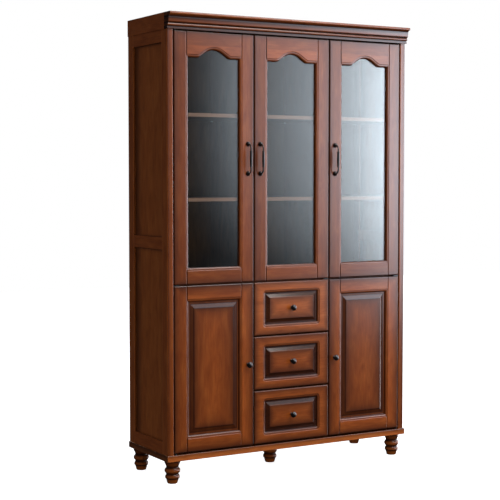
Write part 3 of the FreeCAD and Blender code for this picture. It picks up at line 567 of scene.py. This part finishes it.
# %% Finish the doors
glass_doors = ["left_glass_door", "middle_glass_door", "right_glass_door"]
cupboard_doors = ["left_cupboard_door", "right_cupboard_door"]
lower_stile_lightening = 0.12


def finish_frames(row, doors, rails, rows, shade, stile_board_and_light_tones, rail_board_and_light_tones, edge_lightening):
    """Finishes the stiles and rails of one row of doors and returns how many nodes there were."""
    edges = ((columns, rows), shade)
    moulded_edge = ((depths,), depth_shade)
    joints = ((columns,), joint_shade)
    stile_finish = stained_birch("stained birch " + row + " stiles", "upright",
                                 [edges, moulded_edge], alone=False, edge_lightening=edge_lightening, board_and_light_tones=stile_board_and_light_tones)
    rail_finish = stained_birch("stained birch " + row + " rails", "level",
                                [edges, moulded_edge, joints], alone=False, board_and_light_tones=rail_board_and_light_tones)
    count = finish_nodes(stile_finish, *[door + "_stiles" for door in doors])
    return count + finish_nodes(rail_finish, *[door + rail for door in doors for rail in rails])


done = finish_frames("upper", glass_doors, ("_top_rail", "_bottom_rail"), upper_rows, upper_shade,
                     upper_stile_board_and_light_tones, upper_rail_board_and_light_tones, edge_lightening=0.0)
done += finish_frames("lower", cupboard_doors, ("_rails",), lower_rows, lower_shade,
                      lower_stile_board_and_light_tones, lower_rail_board_and_light_tones, edge_lightening=lower_stile_lightening)
panel_finish = stained_birch("stained birch raised panels", "upright",
                             [((columns, lower_rows), panel_shade)], alone=False)
done += finish_nodes(panel_finish, *[door + "_panel" for door in cupboard_doors])
bead_finish = stained_birch("stained birch beads", "upright")
done += finish_nodes(bead_finish, *[door + "_glazing_beads" for door in glass_doors])
print("finished nodes", done)

# %% [markdown]
# ## Drawer fronts
# A drawer front is one board with level grain, and its raised field is cut into it with a
# router. Each of the three boards has a stain of its own, and the top one is lighter as
# painted light, standing in for more light higher up. Its shades follow those of the doors.
# The borders of the field are wider at the sides than above and below, so the field's shade
# is measured there from a line that lies further in than the edge of the leaf.

# %% Finish the drawer fronts
drawers = ["bottom_drawer", "middle_drawer", "top_drawer"]
drawer_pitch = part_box("middle_drawer_front")[0].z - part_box("bottom_drawer_front")[0].z
drawer_rows = ("Z", lower_leaf[0].z, drawer_pitch)
side_border_step = 10 * mm
drawer_fields = ("X", middle_leaf[0].x + side_border_step,
                 column_pitch - column_gap - 2 * side_border_step)
# Toner from the leaf edges, almost black at the edges: painted shade in the gaps.
drawer_shade = ((0, 0.95), (3, 0.88), (8, 0.66), (16, 0.42), (27, 0.14), (34, 0.0))
# Painted shade on the moulding and bevels around the field, then a toner over it.
field_shade = ((0, 0.0), (55, 0.0), (57, 0.92), (70, 0.95), (72, 0.78), (80, 0.6), (92, 0.34),
               (112, 0.05))
# Painted shade that deepens with the depth of the recess, partly glaze.
recess_shade = ((0, 0.0), (1.8, 0.0), (2.4, 0.55), (4, 0.75), (7, 0.88), (10.5, 0.96), (12, 0.0))
drawer_shade_layers = [((columns, drawer_rows), drawer_shade),
                 ((drawer_fields, drawer_rows), field_shade), ((depths,), recess_shade)]
drawer_lightening = 0.35
# The top drawer's stain is lighter as painted light.
drawer_stains_and_light = {
    "top_drawer": ("#8c4618", "#a05423", "#b0622e"),
    "middle_drawer": ("#7c3b13", "#8f481b", "#9f5625"),
    "bottom_drawer": ("#7a3a12", "#8b461a", "#9b5323"),
}
for drawer, stain in drawer_stains_and_light.items():
    drawer_finish = stained_birch("stained birch " + drawer, "level", drawer_shade_layers, stain,
                                  edge_lightening=drawer_lightening)
    done += finish_nodes(drawer_finish, drawer + "_front")
print("drawer pitch", round(drawer_pitch / mm, 2), "mm, finished nodes", done)

# %% [markdown]
# ## Carcass
# The sides are frames with flat panels, and the feet and the cornice are turned and moulded.
# Glaze collects in every hollow, and painted shade goes over it: in the grooves of the feet,
# under the beads of the cornice and on the upper part of the base board, with a painted
# shadow along the rear edge of each side panel. Each shade depends on one measure alone, such
# as the height on a foot, so a list for that measure draws all the rings or mouldings at
# once. The narrow strips beside the doors are the front edges of the side stiles, darker
# next to the gap and towards the side, with lighter edges.

# %% Shades of the carcass
# Darker next to the gap as painted shade, and darker towards the side face.
strip_shade = ((0, 0.95), (1.5, 0.7), (3, 0.2), (6, 0.1), (12, 0.22), (18, 0.36), (24, 0.58),
               (27.5, 0.85), (28.7, 0.0))
# Painted shadow along the rear edge of the side panels.
side_panel_shade = ((0, 0.97), (6, 0.93), (10, 0.84), (20, 0.76), (30, 0.64), (40, 0.48),
                    (50, 0.34), (65, 0.15), (85, 0.0))
# Painted shade in the grooves and at the neck of the feet, partly glaze.
foot_shade = ((0, 0.55), (4, 0.35), (12, 0.3), (18, 0.5), (20, 0.95), (24, 0.9), (27, 0.5),
              (31, 0.4), (35, 0.6), (38, 0.94), (45, 0.96), (48, 0.65), (54, 0.3), (58, 0.25),
              (64, 0.6), (68, 0.94), (75, 0.96), (78, 0.7), (85, 0.5), (92, 0.8), (99, 0.95))
# Painted shade in the hollows and under the beads of the cornice, partly glaze.
cornice_shade = ((0, 0.9), (7, 0.82), (7.8, 0.96), (11, 0.96), (12.5, 0.62), (16, 0.36),
                 (21, 0.5), (25, 0.96), (26.5, 0.93), (29, 0.55), (33, 0.36), (38, 0.5),
                 (43, 0.82), (47, 0.95), (53, 0.97), (55.5, 0.5), (58, 0.15), (62, 0.05),
                 (70, 0.1))
# Painted shade: the upper part of the base board's front darker.
base_shade = ((0, 0.0), (8, 0.0), (15, 0.2), (21, 0.45), (24.5, 0.6), (27, 0.75), (28, 0.9))
panel_depths = ("Y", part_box("left_side_rails")[1].y, far)
foot_heights = ("Z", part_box("feet")[0].z, far)
base_heights = ("Z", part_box("base_board")[0].z, far)
cornice_heights = ("Z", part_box("cornice_moulding")[0].z, far)
print("cornice starts at", round(cornice_heights[1] / mm, 1), "mm")

# %% Finish the carcass
sides = ("left", "right")
side_reach = 24 * mm
strip_lightening = 0.6
foot_gloss = 0.5
side_stain = ("#7d3d12", "#8d4919", "#9c5722")
foot_stain = ("#7c3b12", "#8c4819", "#9b5622")
base_stain = ("#9a5020", "#ac5e29", "#bb6c34")
side_panels = stained_birch("stained birch side panels", "upright",
                            [((panel_depths,), side_panel_shade)], side_stain, alone=False)
turned_feet = stained_birch("stained birch turned feet", "upright",
                            [((foot_heights,), foot_shade)], foot_stain, gloss=foot_gloss)
strips = stained_birch("stained birch side stiles", "upright", [((columns,), strip_shade)],
                       corner_reach=side_reach, edge_lightening=strip_lightening)
base = stained_birch("stained birch base", "level", [((base_heights,), base_shade)], base_stain)
front_to_back = stained_birch("stained birch front to back", "deep", corner_reach=side_reach)
moulding = stained_birch("stained birch moulding", "level", [((cornice_heights,), cornice_shade)])
done += finish_nodes(side_panels, *[side + "_side_panels" for side in sides])
done += finish_nodes(turned_feet, "feet")
done += finish_nodes(strips, *[side + "_side_stiles" for side in sides])
done += finish_nodes(base, "base_board")
done += finish_nodes(moulding, "cornice_moulding")
done += finish_nodes(front_to_back, "cornice_sides", *[side + "_side_rails" for side in sides])
print("finished nodes", done)

# %% [markdown]
# ## Inside of the case
# Inside, the stain is a darker brown and no shade is sprayed on it, and the backs and drawer
# boxes are plain board with a dull stain. They are seen through the glass and when the
# doors stand open, so they get the same grain with other colours and less gloss. The front
# edges of the shelves are banded with the pale veneer.

# %% Finish the inside
inner_stain = ("#3f1f10", "#55301b", "#663b23")
board_stain = ("#3a2519", "#48301f", "#553a27")
inner_gloss = 0.2
board_gloss = 0.1
shelf_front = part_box("upper_shelves")[0].y
inner_upright = stained_birch("thin stain upright", "upright", stain=inner_stain, gloss=inner_gloss)
inner_level = stained_birch("thin stain level", "level", stain=inner_stain, gloss=inner_gloss)
inner_banded = stained_birch("thin stain with edge veneer", "level", stain=inner_stain,
                             gloss=inner_gloss, veneer_y=shelf_front)
plain_upright = stained_birch("plain board upright", "upright", stain=board_stain, gloss=board_gloss)
plain_deep = stained_birch("plain board front to back", "deep", stain=board_stain, gloss=board_gloss)
done += finish_nodes(inner_upright, "upper_partitions", "lower_partitions")
done += finish_nodes(inner_level, "top_board", "middle_deck")
done += finish_nodes(inner_banded, "upper_shelves", "cupboard_shelves")
done += finish_nodes(plain_upright, "back_panels")
done += finish_nodes(plain_deep, *[drawer + "_box" for drawer in drawers])
print("finished nodes", done)

# %% [markdown]
# ## Float glass
# A pane is clear float glass, 4 mm thick. A full glass shader bends light and keeps lamps
# from shining into the case, so the pane is a mix instead: what a glass surface sends back
# at each angle is a mirror, and the rest goes straight through with the faint green of
# float glass.

# %% Glaze the doors
glass, tree, shader = new_finish("clear float glass", {})
tree.nodes.remove(shader)
sent_back = add(tree, "Fresnel", {"IOR": 1.5})
through = add(tree, "BsdfTransparent", {"Color": linear("#f0f5f2")})
mirror = add(tree, "BsdfGlossy", {"Color": linear("#ffffff"), "Roughness": 0.0})
pane = add(tree, "MixShader", {
    0: sent_back.outputs[0], 1: through.outputs[0], 2: mirror.outputs[0]})
tree.links.new(pane.outputs[0], tree.nodes["Material Output"].inputs["Surface"])
done += finish_nodes(glass, *[door + "_pane" for door in glass_doors])
print("finished nodes", done)

# %% [markdown]
# ## Black lacquer
# Handles and knobs are zinc castings under black lacquer: almost no colour, a soft sheen,
# and a slight orange peel from spraying. The pivots in the gaps are lacquered too. A small
# function mottles the colour with a noise of a real size and hands the noise on, because
# the plating and the plastic further down vary in the same way.

# %% Finish the handles and knobs
def mottled(tree, shader, size, detail, dark, light):
    """Colour that varies between two tones with a noise of a real size. Returns the noise."""
    place = add(tree, "TexCoord")
    noise = add(tree, "TexNoise", {
        "Vector": place.outputs["Object"], "Scale": 1 / size, "Detail": detail})
    tone = add(tree, "ValToRGB", {"Fac": noise.outputs["Fac"]}, ((0, linear(dark)), (1, linear(light))))
    tree.links.new(tone.outputs["Color"], shader.inputs["Base Color"])
    return noise.outputs["Fac"]


peel_size = 3 * mm
peel_height = 0.2 * mm
black, tree, shader = new_finish("black lacquer on zinc", {
    "Roughness": 0.34, "IOR": 1.5, "Coat Weight": 0.5, "Coat Roughness": 0.16})
peel = mottled(tree, shader, peel_size, 2.0, "#060606", "#0d0c0c")
bump = add(tree, "Bump", {"Height": peel, "Strength": 0.1, "Distance": peel_height})
tree.links.new(bump.outputs[0], shader.inputs["Normal"])
done += finish_nodes(black, *[door + "_handle" for door in glass_doors],
                     *[leaf + "_knob" for leaf in cupboard_doors + drawers], "door_pivots")
print("finished nodes", done)

# %% [markdown]
# ## Zinc plated steel
# Pins, bolts, slides and screws are steel with a zinc plating. It clouds in patches, where
# it is both a little lighter and a little rougher, so one noise drives both.

# %% Finish the steel
cloud_size = 14 * mm
smooth_plating, cloudy_plating = 0.28, 0.48
steel, tree, shader = new_finish("zinc plated steel", {"Metallic": 1.0})
clouds = mottled(tree, shader, cloud_size, 4.0, "#8d9092", "#c3c6c6")
rough = add(tree, "MapRange", {
    "Value": clouds, "To Min": smooth_plating, "To Max": cloudy_plating})
tree.links.new(rough.outputs[0], shader.inputs["Roughness"])
done += finish_nodes(steel, "foot_bolts", "shelf_pins", "slide_rails",
                     *[drawer + "_slides" for drawer in drawers])
print("finished nodes", done)

# %% [markdown]
# ## Moulded ABS
# The catches are brown ABS from a mould with an eroded texture, fine and matt. The texture
# is drawn a little coarser than the real one, so that it shows at all.

# %% Finish the catches
erosion_size = 0.8 * mm
erosion_height = 0.1 * mm
plastic, tree, shader = new_finish("brown moulded ABS", {"Roughness": 0.5, "IOR": 1.53})
eroded = mottled(tree, shader, erosion_size, 2.0, "#2a1a12", "#3a261b")
bump = add(tree, "Bump", {"Height": eroded, "Strength": 0.2, "Distance": erosion_height})
tree.links.new(bump.outputs[0], shader.inputs["Normal"])
done += finish_nodes(plastic, "magnetic_catches")
print("finished nodes", done, "of", len(nodes))

# %% [markdown]
# ## Screw heads
# Pan-head screws hold the thin back to the partitions and the drawer fronts to their boxes.
# A head is a small turned form, so it grows ring by ring from a circle: out, over the dome
# and in. The cross recess comes from the last ring: pinching every third point of twelve
# towards the middle leaves a cross, which is then pushed down into the head.

# %% Helpers: grow and close a ring
def grow_ring(shape, ring, widen, rise):
    """Extrudes a ring of points to a new one, widened and raised. Returns the new ring."""
    loop = [edge for edge in shape.edges if all(vert in ring for vert in edge.verts)]
    grown = bmesh.ops.extrude_edge_only(shape, edges=loop)["geom"]
    made = [part for part in grown if isinstance(part, bmesh.types.BMVert)]
    bmesh.ops.scale(shape, vec=(widen, widen, 1), verts=made)
    bmesh.ops.translate(shape, vec=(0, 0, rise), verts=made)
    return made


def close_ring(shape, ring):
    """Fills the last ring, turns all faces outwards and gives the form as a mesh."""
    loop = [edge for edge in shape.edges if all(vert in ring for vert in edge.verts)]
    bmesh.ops.edgeloop_fill(shape, edges=loop)
    bmesh.ops.recalc_face_normals(shape, faces=shape.faces)
    made = bpy.data.meshes.new("pattern")
    shape.to_mesh(made)
    shape.free()
    return made


print("helpers", grow_ring.__name__, close_ring.__name__)

# %% Model one screw head
head_radius = 3.8 * mm
head_height = 1.7 * mm
head_rings = ((0.95, 0.5), (0.8, 0.35), (0.72, 0.15), (0.95, 0.0))
recess_depth = 1.1 * mm
recess_taper = 0.8
ring_points = 12
ring_turn = math.pi / ring_points
cross_pinch_share = 0.366
head = bmesh.new()
ring = bmesh.ops.create_circle(head, cap_ends=True, segments=ring_points, radius=head_radius)["verts"]
bmesh.ops.rotate(head, cent=(0, 0, 0), matrix=Matrix.Rotation(ring_turn, 3, "Z"), verts=ring)
for widen, rise_share in head_rings:
    ring = grow_ring(head, ring, widen, rise_share * head_height)
pinched = [vert for vert in ring
           if abs(abs(vert.co.x) - abs(vert.co.y)) < ring_turn * vert.co.xy.length / 2]
bmesh.ops.scale(head, vec=(cross_pinch_share, cross_pinch_share, 1), verts=pinched)
ring = grow_ring(head, ring, recess_taper, -recess_depth)
screw_head = close_ring(head, ring)
print("screw head faces", len(screw_head.polygons), "pinched", len(pinched))

# %% [markdown]
# ## Screws in place
# The screws of the back stand in two lines, one along each partition, evenly spaced between
# the base, the deck and the top. Four more come through the front wall of each drawer box.
# One head is copied to every place in one mesh, so the screws of a body are one piece.

# %% Helpers: repeat a form and fit a piece
facing_back = Matrix.Rotation(-math.pi / 2, 4, "X")


def repeat(pattern, places, turn):
    """One bmesh with a copy of a pattern at each place, all turned the same way."""
    shape = bmesh.new()
    for place in places:
        count = len(shape.verts)
        shape.from_mesh(pattern)
        shape.verts.ensure_lookup_table()
        bmesh.ops.transform(shape, matrix=Matrix.Translation(place) @ turn, verts=shape.verts[count:])
    return shape


def fit(name, shape, finish, body, slot):
    """New piece from a bmesh that rides on a body and takes the given finish. The slot is not used."""
    made = place_mesh(name, shape, finish)
    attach(made, body)
    return made


print("helpers", repeat.__name__, fit.__name__)

# %% Screw the back and the drawer fronts
screw_spacing = 0.24
edge_distance = 45 * mm
drawer_wall = 12 * mm
back_low, back_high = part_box("back_panels")
deck_middle = sum(corner.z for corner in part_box("middle_deck")) / 2
partition_xs = [front_start + column_pitch * number for number in (1, 2)]
places = []
for low, high in ((back_low.z, deck_middle), (deck_middle, back_high.z)):
    count = round((high - low) / screw_spacing)
    step = (high - low - 2 * edge_distance) / count
    heights = [low + edge_distance + step * number for number in range(count + 1)]
    places += [(x, back_high.y, z) for x in partition_xs for z in heights]
fit("back_screws", repeat(screw_head, places, facing_back), steel, "carcass", "plated_steel")
for drawer in drawers:
    low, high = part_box(drawer + "_box")
    corners = [(x, low.y + drawer_wall, z)
               for x in (low.x + 2 * edge_distance, high.x - 2 * edge_distance)
               for z in (low.z + edge_distance, high.z - edge_distance)]
    fit(drawer + "_screws", repeat(screw_head, corners, facing_back), steel, drawer, "plated_steel")
print("back screws", len(places), "drawer screws", len(corners) * len(drawers))

# %% [markdown]
# ## Strike plates and buffers
# A magnetic catch needs a steel plate on the back of the door, let into the wood so that it
# stands only a hair proud, and the door closes against small plastic buffers near the free
# corners. A plate is a block with the four edges through its thickness bevelled round; a
# buffer is grown from rings as the screw head was. The free side of a door is the side of
# its handle or knob.

# %% Model one buffer
buffer_radius = 3.6 * mm
buffer_height = 2.6 * mm
buffer_rings = ((1.0, 0.45), (0.9, 0.3), (0.7, 0.18), (0.4, 0.07))
bulge = bmesh.new()
ring = bmesh.ops.create_circle(bulge, cap_ends=True, segments=2 * ring_points,
                               radius=buffer_radius)["verts"]
for widen, rise_share in buffer_rings:
    ring = grow_ring(bulge, ring, widen, rise_share * buffer_height)
buffer = close_ring(bulge, ring)
print("buffer faces", len(buffer.polygons))

# %% Fit the doors
plate_size = Vector((11, 1.2, 32)) * mm
plate_proud = 0.2 * mm
plate_corner = 3 * mm
corner_segments = 5
catch_inset = 13.5 * mm
catch_drop = 79 * mm
buffer_inset = 4.6 * mm
buffer_drop = 30 * mm
for door in glass_doors + cupboard_doors:
    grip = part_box(door + ("_handle" if door in glass_doors else "_knob"))
    low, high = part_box(door + "_stiles")
    free_turn = 1 if grip[0].x + grip[1].x > low.x + high.x else -1
    free_x = high.x if free_turn > 0 else low.x
    middle = Vector((free_x - free_turn * catch_inset, high.y + plate_proud - plate_size.y / 2,
                     high.z - catch_drop))
    plate = bmesh.new()
    bmesh.ops.create_cube(plate, size=1.0,
                          matrix=Matrix.Translation(middle) @ Matrix.Diagonal((*plate_size, 1)))
    through = [edge for edge in plate.edges
               if abs(edge.verts[0].co.y - edge.verts[1].co.y) > plate_size.y / 2]
    bmesh.ops.bevel(plate, geom=through, offset=plate_corner, offset_type="OFFSET", affect="EDGES",
                    segments=corner_segments, profile=0.5, material=-1)
    fit(door + "_strike_plate", plate, steel, door, "plated_steel")
    ends = [(free_x - free_turn * buffer_inset, high.y, z)
            for z in (low.z + buffer_drop, high.z - buffer_drop)]
    fit(door + "_buffers", repeat(buffer, ends, facing_back), plastic, door, "catch_plastic")
for pattern in (screw_head, buffer):
    bpy.data.meshes.remove(pattern)
print("doors fitted", len(glass_doors + cupboard_doors))

# %% Print the dressed size
low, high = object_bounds()
print("dressed box in mm", [round((b - a) / mm) for a, b in zip(low, high)])
